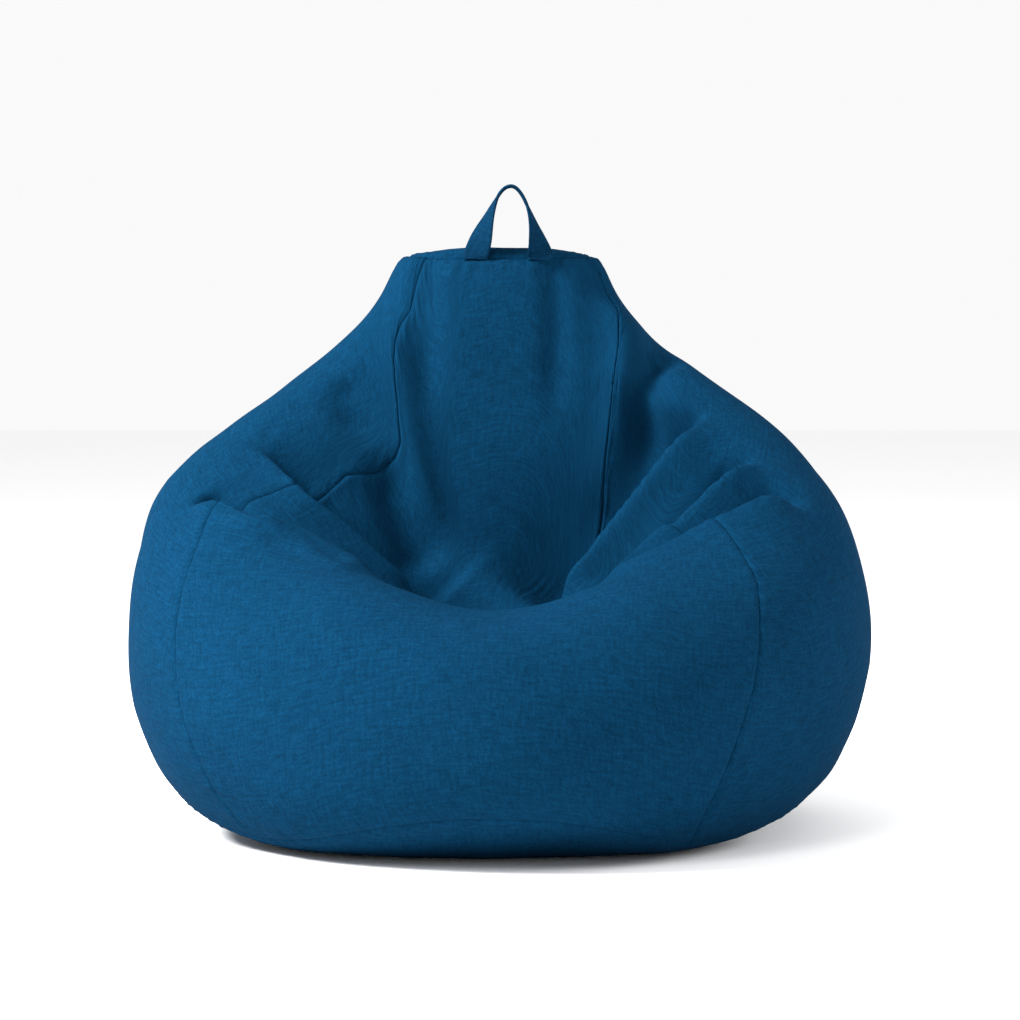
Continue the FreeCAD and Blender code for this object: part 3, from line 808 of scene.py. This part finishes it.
class Finish:
    """One material: its shader and the nodes that feed it."""

    def __init__(self, name):
        self.material = bpy.data.materials.new(name)
        self.material.use_nodes = True
        self.tree = self.material.node_tree
        self.shader = self.tree.nodes["Principled BSDF"]

    def feed(self, socket, value):
        if isinstance(value, Value):
            self.tree.links.new(value.socket, socket)
        else:
            socket.default_value = value

    def node(self, kind, settings=None, inputs=None, output=0):
        """Adds a node: its settings first, a ramp's stops among them, then its sockets."""
        made = self.tree.nodes.new(kind)
        for key, value in (settings or {}).items():
            if key == "stops":
                for place, _ in value[1:-1]:
                    made.color_ramp.elements.new(place)
                for element, (place, tint) in zip(made.color_ramp.elements, value):
                    element.position, element.color = place, tint
            else:
                setattr(made, key, value)
        for key, value in (inputs or {}).items():
            self.feed(made.inputs[key], value)
        return Value(self, made.outputs[output])

    def noise(self, place, scale, detail=2.0, roughness=0.5):
        inputs = {"Vector": place, "Scale": scale, "Detail": detail, "Roughness": roughness}
        return self.node("ShaderNodeTexNoise", {}, inputs)

    def stretched(self, place, scales):
        settings = {"operation": "MULTIPLY"}
        return self.node("ShaderNodeVectorMath", settings, {0: place, 1: scales})

    def part(self, place, axis):
        return self.node("ShaderNodeSeparateXYZ", {}, {0: place}, output=axis)

    def mixed(self, share, first, second):
        settings = {"data_type": "RGBA"}
        return self.node("ShaderNodeMix", settings, {0: share, 6: first, 7: second}, output=2)

    def raised(self, height, distance):
        inputs = {"Height": height, "Distance": distance, "Strength": 1.0}
        return self.node("ShaderNodeBump", {}, inputs)

    def set(self, **values):
        """Sets the shader's sockets by name, with _ for each space."""
        for key, value in values.items():
            self.feed(self.shader.inputs[key.replace("_", " ")], value)
        return self.material


def shade(colour, factor):
    """A colour made darker or lighter, with full opacity."""
    return (*(min(1.0, c * factor) for c in colour), 1.0)


def woven(name, colour, pitch, contrast, depth, roughness, cut=True):
    """Matte woven cloth: two sets of uneven threads, with darker and lighter yarns. Its
    threads follow the lengths along which the cloth was cut."""
    finish = Finish(name)
    place = finish.node("ShaderNodeTexCoord", output=2 if cut else 3)
    across, along = finish.part(place, 0), finish.part(place, 1 if cut else 2)
    turn = 2.0 * math.pi / pitch
    wander = finish.noise(place, 90.0) * 5.0
    warp = (across * turn + wander).sine()
    weft = (along * turn + wander).sine()
    over = (across * (turn / 2.0)).sine() * (along * (turn / 2.0)).sine()
    yarns = finish.noise(finish.stretched(place, (0.35 / pitch, 0.08 / pitch, 1.0)), 1.0, 3.0)
    slubs = finish.noise(finish.stretched(place, (0.07 / pitch, 0.40 / pitch, 1.0)), 1.0, 3.0)
    fleck = finish.noise(place, 0.45 / pitch, 2.0, 0.65)
    patch = finish.noise(place, 9.0, 3.0)
    mottle = yarns * 0.35 + slubs * 0.4 + fleck * 0.45 + patch * 0.12 - 0.16
    stops = [(0.26, shade(colour, 1.0 - contrast)), (0.5, shade(colour, 1.0)),
             (0.74, shade(colour, 1.0 + 1.2 * contrast))]
    tone = finish.node("ShaderNodeValToRGB", {"stops": stops}, {0: mottle})
    height = warp * 0.08 + weft * 0.08 + over * 0.10 + mottle * 1.6
    return finish.set(
        Base_Color=tone,
        Roughness=roughness + mottle * 0.1,
        Specular_IOR_Level=0.01,
        Normal=finish.raised(height, depth),
    )


def plated(name, colour, roughness):
    """Plated metal, rubbed and slightly mottled."""
    finish = Finish(name)
    place = finish.node("ShaderNodeTexCoord", output=3)
    rubbed = finish.noise(finish.stretched(place, (900.0, 900.0, 120.0)), 1.0, 3.0)
    cloud = finish.noise(place, 160.0, 3.0)
    tone = finish.mixed(cloud, shade(colour, 0.8), shade(colour, 1.15))
    return finish.set(Base_Color=tone, Metallic=1.0, Roughness=roughness + rubbed * 0.18,
                      Normal=finish.raised(rubbed, 0.00004))


def moulded(name, colour, roughness):
    """Moulded nylon, faintly grained."""
    finish = Finish(name)
    place = finish.node("ShaderNodeTexCoord", output=3)
    grain = finish.noise(place, 1400.0, 3.0)
    tone = finish.mixed(grain, shade(colour, 0.85), shade(colour, 1.15))
    return finish.set(Base_Color=tone, Roughness=roughness + grain * 0.12,
                      Normal=finish.raised(grain, 0.00005))


def beaded(name, colour, size):
    """A mass of foam beads, seen as a surface of round cells, each darkened towards its edge by
    painted shade between the beads.
    """
    finish = Finish(name)
    place = finish.node("ShaderNodeTexCoord", output=3)
    cells = finish.node("ShaderNodeTexVoronoi", {}, {"Vector": place, "Scale": 1.0 / size})
    # painted shade: each bead's colour darkens towards its cell's edge, where the beads meet and
    # shade falls between them
    tone = finish.mixed(cells, shade(colour, 1.0), shade(colour, 0.55))
    return finish.set(Base_Color=tone, Roughness=0.7 + cells * 0.2,
                      Normal=finish.raised(1.0 - cells, size / 2.0))


def dress(made, finish, body, slot, *nodes):
    """Gives a piece its finish and its body, and hides the CAD model's pieces that it stands for.
    """
    made.data.materials.clear()
    made.data.materials.append(finish)
    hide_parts(*nodes)
    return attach(made, body) if body else made


def refinish(finish, *nodes):
    """Gives a finish to pieces of the CAD model that keep their shape."""
    for name in nodes:
        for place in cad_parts[name].material_slots:
            place.material = finish


# The carry loop ---------------------------------------------------------------------------

# The strap's middle from one foot to the other, across and up from where it is sewn on.
LOOP_LINE = (
    (-0.040, -0.006), (-0.0395, 0.0), (-0.033, 0.021), (-0.0255, 0.042), (-0.0165, 0.064),
    (-0.0085, 0.0775), (0.0005, 0.0835), (0.0095, 0.0815), (0.0185, 0.070), (0.0265, 0.051),
    (0.033, 0.029), (0.0375, 0.010), (0.039, 0.0), (0.0392, -0.006),
)
LOOP_STEPS = 120
LOOP_TURN = 0.36  # the share of the strap's length over which each half turns
FOLD_PLACE = Vector((0.010, 0.101165, 0.694718))
LOOP_LIFT = 0.0010
UP = np.array([0.0, 0.0, 1.0])
BACKWARD = np.array([0.0, 1.0, 0.0])
STITCH_PITCH = 0.0042
STITCH_LENGTH = 0.72 * STITCH_PITCH
STITCH_WIDTH = 0.0008
STITCH_RISE = 0.0009
STITCH_SIDES = 6
STITCH_ROW = 0.35  # from the strap's middle to a row of stitches, in widths of the strap
STITCH_OUT = 0.35  # from the strap's middle out to a stitch, in thicknesses of the strap
STITCH_END = 0.012  # from the strap's ends to the first and last stitch


def strap_frames(line, steps):
    """Middles, directions along, across and out of the strap: it lies flat at its feet and
    turns a quarter on its way over the top."""
    flat = along_line(line, steps + 1)
    along = np.gradient(flat, axis=0)
    along /= np.linalg.norm(along, axis=1, keepdims=True)
    share = np.arange(steps + 1) / steps
    turned = math.pi / 2.0 * smooth((0.5 - np.abs(share - 0.5)) / LOOP_TURN)
    zero = np.zeros(steps + 1)
    middle = np.stack([flat[:, 0], zero, flat[:, 1]], 1)
    ahead = np.stack([along[:, 0], zero, along[:, 1]], 1)
    outward = np.stack([-along[:, 1], zero, along[:, 0]], 1)
    across = outward * np.cos(turned)[:, None] + BACKWARD * np.sin(turned)[:, None]
    return middle, ahead, across, np.cross(ahead, across)


def strap_profile(width, thickness):
    """Half a strap's thickness across it: full at the two hems, thinner between them."""
    places = np.sin(np.linspace(-math.pi / 2, math.pi / 2, 21))
    edge = np.sqrt(np.maximum(0.0, 1.0 - np.abs(places) ** 14))
    hem = 0.78 + 0.22 * np.exp(-(((np.abs(places) - 0.80) / 0.11) ** 2))
    stitch = 1.0 - 0.16 * np.exp(-(((np.abs(places) - 0.70) / 0.03) ** 2))
    return places * width / 2.0, np.maximum(edge * hem * stitch, 0.05) * thickness / 2.0


def tube_faces(rings, count):
    """Faces along a tube of numbered rings, from each ring to the next."""
    closing = []
    for i in range(rings - 1):
        a, b = i * count, (i + 1) * count
        closing.append((a + count - 1, b + count - 1, b, a))
    return quads_of(rings, count, False).tolist() + closing


def stitches(places, along, out):
    """Short raised threads, each a pinched tube with closed ends."""
    side = np.cross(along, out)
    points, faces = [], []
    shares = ((-0.5, 0.12), (-0.36, 0.8), (0.0, 1.0), (0.36, 0.8), (0.5, 0.12))
    for place, ahead, up, over in zip(places, along, out, side):
        start = len(points)
        for share, full in shares:
            for k in range(STITCH_SIDES):
                angle = k * math.pi / (STITCH_SIDES / 2)
                point = place + ahead * share * STITCH_LENGTH
                point = point + over * math.cos(angle) * full * STITCH_WIDTH / 2.0
                points.append(point + up * math.sin(angle) * full * STITCH_RISE / 2.0)
        end = len(points)
        faces += [tuple(start + n for n in f) for f in tube_faces(len(shares), STITCH_SIDES)]
        faces += [tuple(range(start + STITCH_SIDES - 1, start - 1, -1)),
                  tuple(range(end - STITCH_SIDES, end))]
    return points, faces


def make_strap(name, width, thickness):
    """The strap, and its middles and directions with the distances run along it."""
    middle, ahead, across, out = strap_frames(LOOP_LINE, LOOP_STEPS)
    middle = middle + np.array(FOLD_PLACE) + LOOP_LIFT * UP
    places, half = strap_profile(width, thickness)
    sideways = np.concatenate([places, places[-2:0:-1]])
    upward = np.concatenate([half, -half[-2:0:-1]])
    points = middle[:, None] + across[:, None] * sideways[:, None] + out[:, None] * upward[:, None]
    rings, count = points.shape[:2]
    faces = [tuple(f[::-1]) for f in tube_faces(rings, count)]
    faces += [tuple(range(count)), tuple(range(rings * count - 1, (rings - 1) * count - 1, -1))]
    run = np.concatenate([[0.0], np.cumsum(np.linalg.norm(np.diff(middle, axis=0), axis=1))])
    lengths = np.stack(np.broadcast_arrays(sideways, run[:, None]), -1).reshape(-1, 2)
    strap = mesh_piece(name, points.reshape(-1, 3), faces, lengths)
    return strap, (middle, ahead, across, out, run)


def make_strap_stitches(name, frames, width, thickness):
    """Two rows of stitches, one inside each hem, on both faces of the strap."""
    middle, ahead, across, out, run = frames
    at = np.arange(STITCH_END, run[-1] - STITCH_END, STITCH_PITCH)
    middle, ahead, across, out = (
        np.stack([np.interp(at, run, part[:, k]) for k in range(3)], 1)
        for part in (middle, ahead, across, out)
    )
    points, faces = [], []
    for row in (-STITCH_ROW, STITCH_ROW):
        for face in (-1.0, 1.0):
            places = middle + across * row * width + out * face * thickness * STITCH_OUT
            more, ring = stitches(places, ahead, out * face)
            faces += [tuple(n + len(points) for n in f) for f in ring]
            points += more
    return mesh_piece(name, points, faces, np.array(points)[:, [0, 2]])


# The zips ---------------------------------------------------------------------------------

ZIP_HEIGHT = 0.245
COIL_RADIUS = 0.44825
COIL_REACH = math.radians(43.5)
COIL_APART = 0.0019  # from the middle of the chain to the middle of each coil
COIL_HALF_HEIGHT = 0.0016
COIL_HALF_DEPTH = 0.00045
COIL_STEPS = 9  # in one turn
WIRE_SIDES = 5


def make_coil(name, middle, pitch, wire, phase):
    """A zip's coil: a wire wound along the chain, which follows the bag's round back."""
    turns = int(2 * COIL_REACH * COIL_RADIUS / pitch)
    steps = turns * COIL_STEPS
    share = np.linspace(-1.0, 1.0, steps + 1)
    angle, wound = share * COIL_REACH, (share + 1.0) * math.pi * turns + phase
    outward = np.stack([-np.sin(angle), np.cos(angle), np.zeros(steps + 1)], 1)
    path = outward * (COIL_RADIUS + COIL_HALF_DEPTH * np.cos(wound))[:, None]
    path = path + UP * (middle + COIL_HALF_HEIGHT * np.sin(wound))[:, None]
    path[:, 1] += AXIS_Y
    along = np.gradient(path, axis=0)
    along /= np.linalg.norm(along, axis=1, keepdims=True)
    normal = outward * np.cos(wound)[:, None] + UP * np.sin(wound)[:, None]
    second = np.cross(along, normal)
    second /= np.linalg.norm(second, axis=1, keepdims=True)
    first = np.cross(second, along)
    turn = np.arange(WIRE_SIDES) * 2.0 * math.pi / WIRE_SIDES
    points = (path[:, None] + wire * np.cos(turn)[:, None] * first[:, None]
              + wire * np.sin(turn)[:, None] * second[:, None])
    faces = tube_faces(steps + 1, WIRE_SIDES)
    last = steps * WIRE_SIDES
    faces += [tuple(range(WIRE_SIDES - 1, -1, -1)), tuple(range(last, last + WIRE_SIDES))]
    return mesh_piece(name, points.reshape(-1, 3), faces)


# Settings ---------------------------------------------------------------------------------


def metres(name, description, default, largest=0.1):
    return bpy.props.FloatProperty(name=name, description=description, default=default,
                                   min=0.0, max=largest, precision=5, unit="LENGTH")


def colour(name, description, default):
    return bpy.props.FloatVectorProperty(name=name, description=description, default=default,
                                         subtype="COLOR", size=3, min=0.0, max=1.0)


def amount(name, description, default, largest=1.0):
    return bpy.props.FloatProperty(name=name, description=description, default=default,
                                   min=0.0, max=largest)


class CoverSettings(bpy.types.PropertyGroup):
    cloth: metres("Cloth", "Thickness of the cover's cloth", 0.0016)
    seam_depth: metres("Seam depth", "How far the cloth pulls in along a seam", 0.0017)
    pucker: metres("Pucker", "How far the cloth puckers beside a seam", 0.0006)
    uneven: metres("Unevenness", "How far the filling pushes the cloth in and out", 0.0016)
    colour: colour("Colour", "Colour of the cover's cloth", (0.0013, 0.0204, 0.0495))
    thread: metres("Thread pitch", "From one thread of the weave to the next", 0.0016)
    contrast: amount("Contrast", "How much the yarns differ in colour", 0.42)
    weave: metres("Weave depth", "How far the threads stand out", 0.00022)
    fill: amount("Fill", "How full the bag is, from slack to tight", 0.75)


class LoopSettings(bpy.types.PropertyGroup):
    width: metres("Width", "Width of the carry loop's strap", 0.032)
    thickness: metres("Thickness", "Thickness of the strap at its hems", 0.0042)
    colour: colour("Colour", "Colour of the strap's cloth", (0.0014, 0.0165, 0.0400))
    stitch: colour("Stitch colour", "Colour of the strap's stitches", (0.0035, 0.0310, 0.0720))


class ZipSettings(bpy.types.PropertyGroup):
    pitch: metres("Pitch", "From one turn of the coil to the next", 0.0030)
    wire: metres("Wire", "Half the thickness of the coil's wire", 0.00042)
    tape: colour("Tape colour", "Colour of the tapes", (0.0018, 0.0180, 0.0440))
    coil: colour("Coil colour", "Colour of the coils", (0.0026, 0.0180, 0.0420))
    metal: colour("Metal colour", "Colour of the slider, pull tab and stops", (0.30, 0.30, 0.31))


class LinerSettings(bpy.types.PropertyGroup):
    colour: colour("Colour", "Colour of the liner's cloth", (0.62, 0.61, 0.58))
    beads: colour("Bead colour", "Colour of the foam beads", (0.86, 0.86, 0.85))
    bead: metres("Bead size", "Size across one bead", 0.0045)


class StageSettings(bpy.types.PropertyGroup):
    floor: colour("Floor colour", "Colour of the floor", (0.94, 0.94, 0.94))
    world: amount("World", "Strength of the light from all round", 0.95, 10.0)
    key: amount("Key", "Watts of the large light on the left", 450.0, 2000.0)
    front: amount("Front", "Watts of the light above the front", 55.0, 2000.0)
    right: amount("Right", "Watts of the light on the right", 90.0, 2000.0)


class BeanBagSettings(bpy.types.PropertyGroup):
    cover: bpy.props.PointerProperty(type=CoverSettings, name="Cover")
    loop: bpy.props.PointerProperty(type=LoopSettings, name="Carry loop")
    zips: bpy.props.PointerProperty(type=ZipSettings, name="Zips")
    liner: bpy.props.PointerProperty(type=LinerSettings, name="Liner")
    stage: bpy.props.PointerProperty(type=StageSettings, name="Stage")


# Operators --------------------------------------------------------------------------------


class BEANBAG_OT_cover(bpy.types.Operator):
    """Build the seven panels of the outer cover, with their folds and seams"""

    bl_idname = "bean_bag.cover"
    bl_label = "Build Cover"

    def execute(self, context):
        look = context.scene.bean_bag.cover
        grid = bag_grid()
        inner = inset(grid, look.cloth, look.cloth)
        finish = woven("cover_linen", look.colour, look.thread, look.contrast, look.weave, 0.9)
        panels = make_panels("cover", grid["cover"], inner, grid["u"], grid["v"], COVER_SLOT)
        for name, piece in panels:
            dress(piece, finish, "bag", "cover_cloth", f"{name}_panel")
        return {"FINISHED"}


class BEANBAG_OT_liner(bpy.types.Operator):
    """Build the seven panels of the liner and the mass of beads inside it"""

    bl_idname = "bean_bag.liner"
    bl_label = "Build Liner and Filling"

    def execute(self, context):
        settings = context.scene.bean_bag
        look, grid = settings.liner, thinned(bag_grid())
        outer = inset(grid, LINER_INSET, LINER_FLOOR, LINER_SMOOTHING)
        inner = inset(grid, LINER_INSET + LINER_CLOTH, LINER_FLOOR + FLOOR_STEP, LINER_SMOOTHING)
        finish = woven("liner_cotton", look.colour, pitch=0.0009, contrast=0.05, depth=0.0001,
                       roughness=0.9)
        for name, piece in make_panels("liner", outer, inner, grid["u"], grid["v"], LINER_SLOT):
            dress(piece, finish, "bag", "liner_cloth", f"liner_{name}_panel")
        floor = LINER_FLOOR + 2.0 * FLOOR_STEP
        beads = with_discs(inset(grid, FILLING_INSET, floor, LINER_SMOOTHING))
        columns, rows = beads.shape[:2]
        faces = quads_of(columns, rows, True).tolist()
        faces += [np.arange(columns)[::-1] * rows, np.arange(columns) * rows + rows - 1]
        piece = mesh_piece("filling_beads", beads.reshape(-1, 3), [tuple(f) for f in faces])
        dress(piece, beaded("foam_beads", look.beads, look.bead), "bag", "beads", "bead_filling")
        return {"FINISHED"}


class BEANBAG_OT_carry_loop(bpy.types.Operator):
    """Build the stitched strap at the top, where it is sewn on"""

    bl_idname = "bean_bag.carry_loop"
    bl_label = "Build Carry Loop"

    def execute(self, context):
        settings = context.scene.bean_bag
        look, cloth = settings.loop, settings.cover
        strap, frames = make_strap("loop_strap", look.width, look.thickness)
        threads = make_strap_stitches("loop_stitches", frames, look.width, look.thickness)
        linen = woven("loop_linen", look.colour, cloth.thread, cloth.contrast, cloth.weave, 0.9)
        cotton = woven("loop_thread", look.stitch, pitch=0.0006, contrast=0.1, depth=0.00008,
                       roughness=0.8)
        dress(strap, linen, None, "cover_cloth", "carry_loop")
        dress(threads, cotton, None, "cover_cloth")
        for piece in (strap, threads):
            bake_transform(piece)
        return {"FINISHED"}


class BEANBAG_OT_zips(bpy.types.Operator):
    """Wind the cover zip's coils and finish the tapes, sliders, stops and pull tab"""

    bl_idname = "bean_bag.zips"
    bl_label = "Build Zips"

    def execute(self, context):
        settings = context.scene.bean_bag
        look = settings.zips
        nylon = moulded("zip_nylon", look.coil, 0.38)
        for name, side, phase in (("upper", 1.0, 0.0), ("lower", -1.0, math.pi)):
            coil = make_coil(f"zip_coil_turns_{name}", ZIP_HEIGHT + side * COIL_APART,
                             look.pitch, look.wire, phase)
            dress(coil, nylon, "bag", "zip_coil", f"zip_coil_{name}")
        tape = woven("zip_twill", look.tape, pitch=0.0008, contrast=0.10, depth=0.0001,
                     roughness=0.75, cut=False)
        refinish(tape, "zip_tape_upper", "zip_tape_lower")
        metal = plated("zip_nickel", look.metal, 0.26)
        refinish(metal, "zip_end_stop", "zip_open_stops", "zip_slider", "zip_pull_tab")
        white = settings.liner.colour
        tape = woven("liner_zip_twill", white, pitch=0.0008, contrast=0.06, depth=0.0001,
                     roughness=0.8, cut=False)
        refinish(tape, "liner_zip_tape_upper", "liner_zip_tape_lower")
        refinish(moulded("liner_zip_nylon", white, 0.4), "liner_zip_coil_upper",
                 "liner_zip_coil_lower")
        refinish(plated("liner_zip_nickel", look.metal, 0.3), "liner_zip_end_stop",
                 "liner_zip_open_stops", "liner_zip_slider")
        return {"FINISHED"}


class BEANBAG_OT_stage(bpy.types.Operator):
    """Lay the floor, hang the lights and set up the camera"""

    bl_idname = "bean_bag.stage"
    bl_label = "Set Stage"

    def execute(self, context):
        look, scene = context.scene.bean_bag.stage, context.scene
        corners = [(x * HALF_FLOOR, y * HALF_FLOOR, 0.0)
                   for x, y in ((-1, -1), (1, -1), (1, 1), (-1, 1))]
        floor = mesh_piece("floor", corners, [(0, 1, 2, 3)])
        pale = Finish("pale_floor")
        cloud = pale.noise(pale.node("ShaderNodeTexCoord", output=3), 0.6)
        tone = pale.mixed(cloud, shade(look.floor, 0.99), shade(look.floor, 1.01))
        floor.data.materials.append(pale.set(Base_Color=tone, Roughness=0.9))
        floor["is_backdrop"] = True
        hang_light("key", place=(-2.7, -1.0, 2.6), size=1.3, watts=look.key)
        hang_light("front", place=(-1.2, -3.2, 3.2), size=1.6, watts=look.front)
        hang_light("right", place=(3.2, 0.4, 1.3), size=1.6, watts=look.right)
        world = bpy.data.worlds.new("pale_world")
        world.use_nodes = True
        sky = world.node_tree.nodes["Background"].inputs
        sky["Color"].default_value = (1.0, 1.0, 1.0, 1.0)
        sky["Strength"].default_value = look.world
        scene.world = world
        scene.view_settings.view_transform = "Standard"
        camera = bpy.data.objects.new("camera", bpy.data.cameras.new("camera"))
        scene.collection.objects.link(camera)
        camera.location = EYE
        camera.rotation_euler = (AIM - EYE).to_track_quat("-Z", "Y").to_euler()
        camera.data.lens = camera.data.sensor_width * (AIM - EYE).length / PICTURE_WIDTH
        scene.camera = camera
        return {"FINISHED"}


def hang_light(name, place, size, watts):
    """A round lamp turned towards the bag's middle."""
    light = bpy.data.lights.new(name, "AREA")
    light.shape, light.size, light.energy = "DISK", size, watts
    made = bpy.data.objects.new(name, light)
    made.location = place
    made.rotation_euler = (LIT_PLACE - made.location).to_track_quat("-Z", "Y").to_euler()
    bpy.context.scene.collection.objects.link(made)


class BEANBAG_PT_panel(bpy.types.Panel):
    """Lists the steps that build the bean bag chair, with their settings"""

    bl_idname = "BEANBAG_PT_panel"
    bl_label = "Bean Bag Chair"
    bl_space_type = "VIEW_3D"
    bl_region_type = "UI"
    bl_category = "Bean Bag"

    def draw(self, context):
        settings = context.scene.bean_bag
        groups = ((settings.cover, BEANBAG_OT_cover), (settings.liner, BEANBAG_OT_liner),
                  (settings.loop, BEANBAG_OT_carry_loop), (settings.zips, BEANBAG_OT_zips),
                  (settings.stage, BEANBAG_OT_stage))
        for group, operator in groups:
            box = self.layout.box()
            for key in group.__annotations__:
                box.prop(group, key)
            box.operator(operator.bl_idname)


CLASSES = (
    CoverSettings, LoopSettings, ZipSettings, LinerSettings, StageSettings, BeanBagSettings,
    BEANBAG_OT_cover, BEANBAG_OT_liner, BEANBAG_OT_carry_loop, BEANBAG_OT_zips, BEANBAG_OT_stage,
    BEANBAG_PT_panel,
)


def register():
    for cls in CLASSES:
        bpy.utils.register_class(cls)
    bpy.types.Scene.bean_bag = bpy.props.PointerProperty(type=BeanBagSettings)


def unregister():
    del bpy.types.Scene.bean_bag
    for cls in reversed(CLASSES):
        bpy.utils.unregister_class(cls)


def main():
    register()
    bpy.ops.bean_bag.cover()
    bpy.ops.bean_bag.liner()
    bpy.ops.bean_bag.carry_loop()
    bpy.ops.bean_bag.zips()
    bpy.ops.bean_bag.stage()
    sizes = {"cad": CAD_BOX, "visual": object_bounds()}
    plain = {name: [list(corner) for corner in box] for name, box in sizes.items()}


if __name__ == "__main__":
    main()
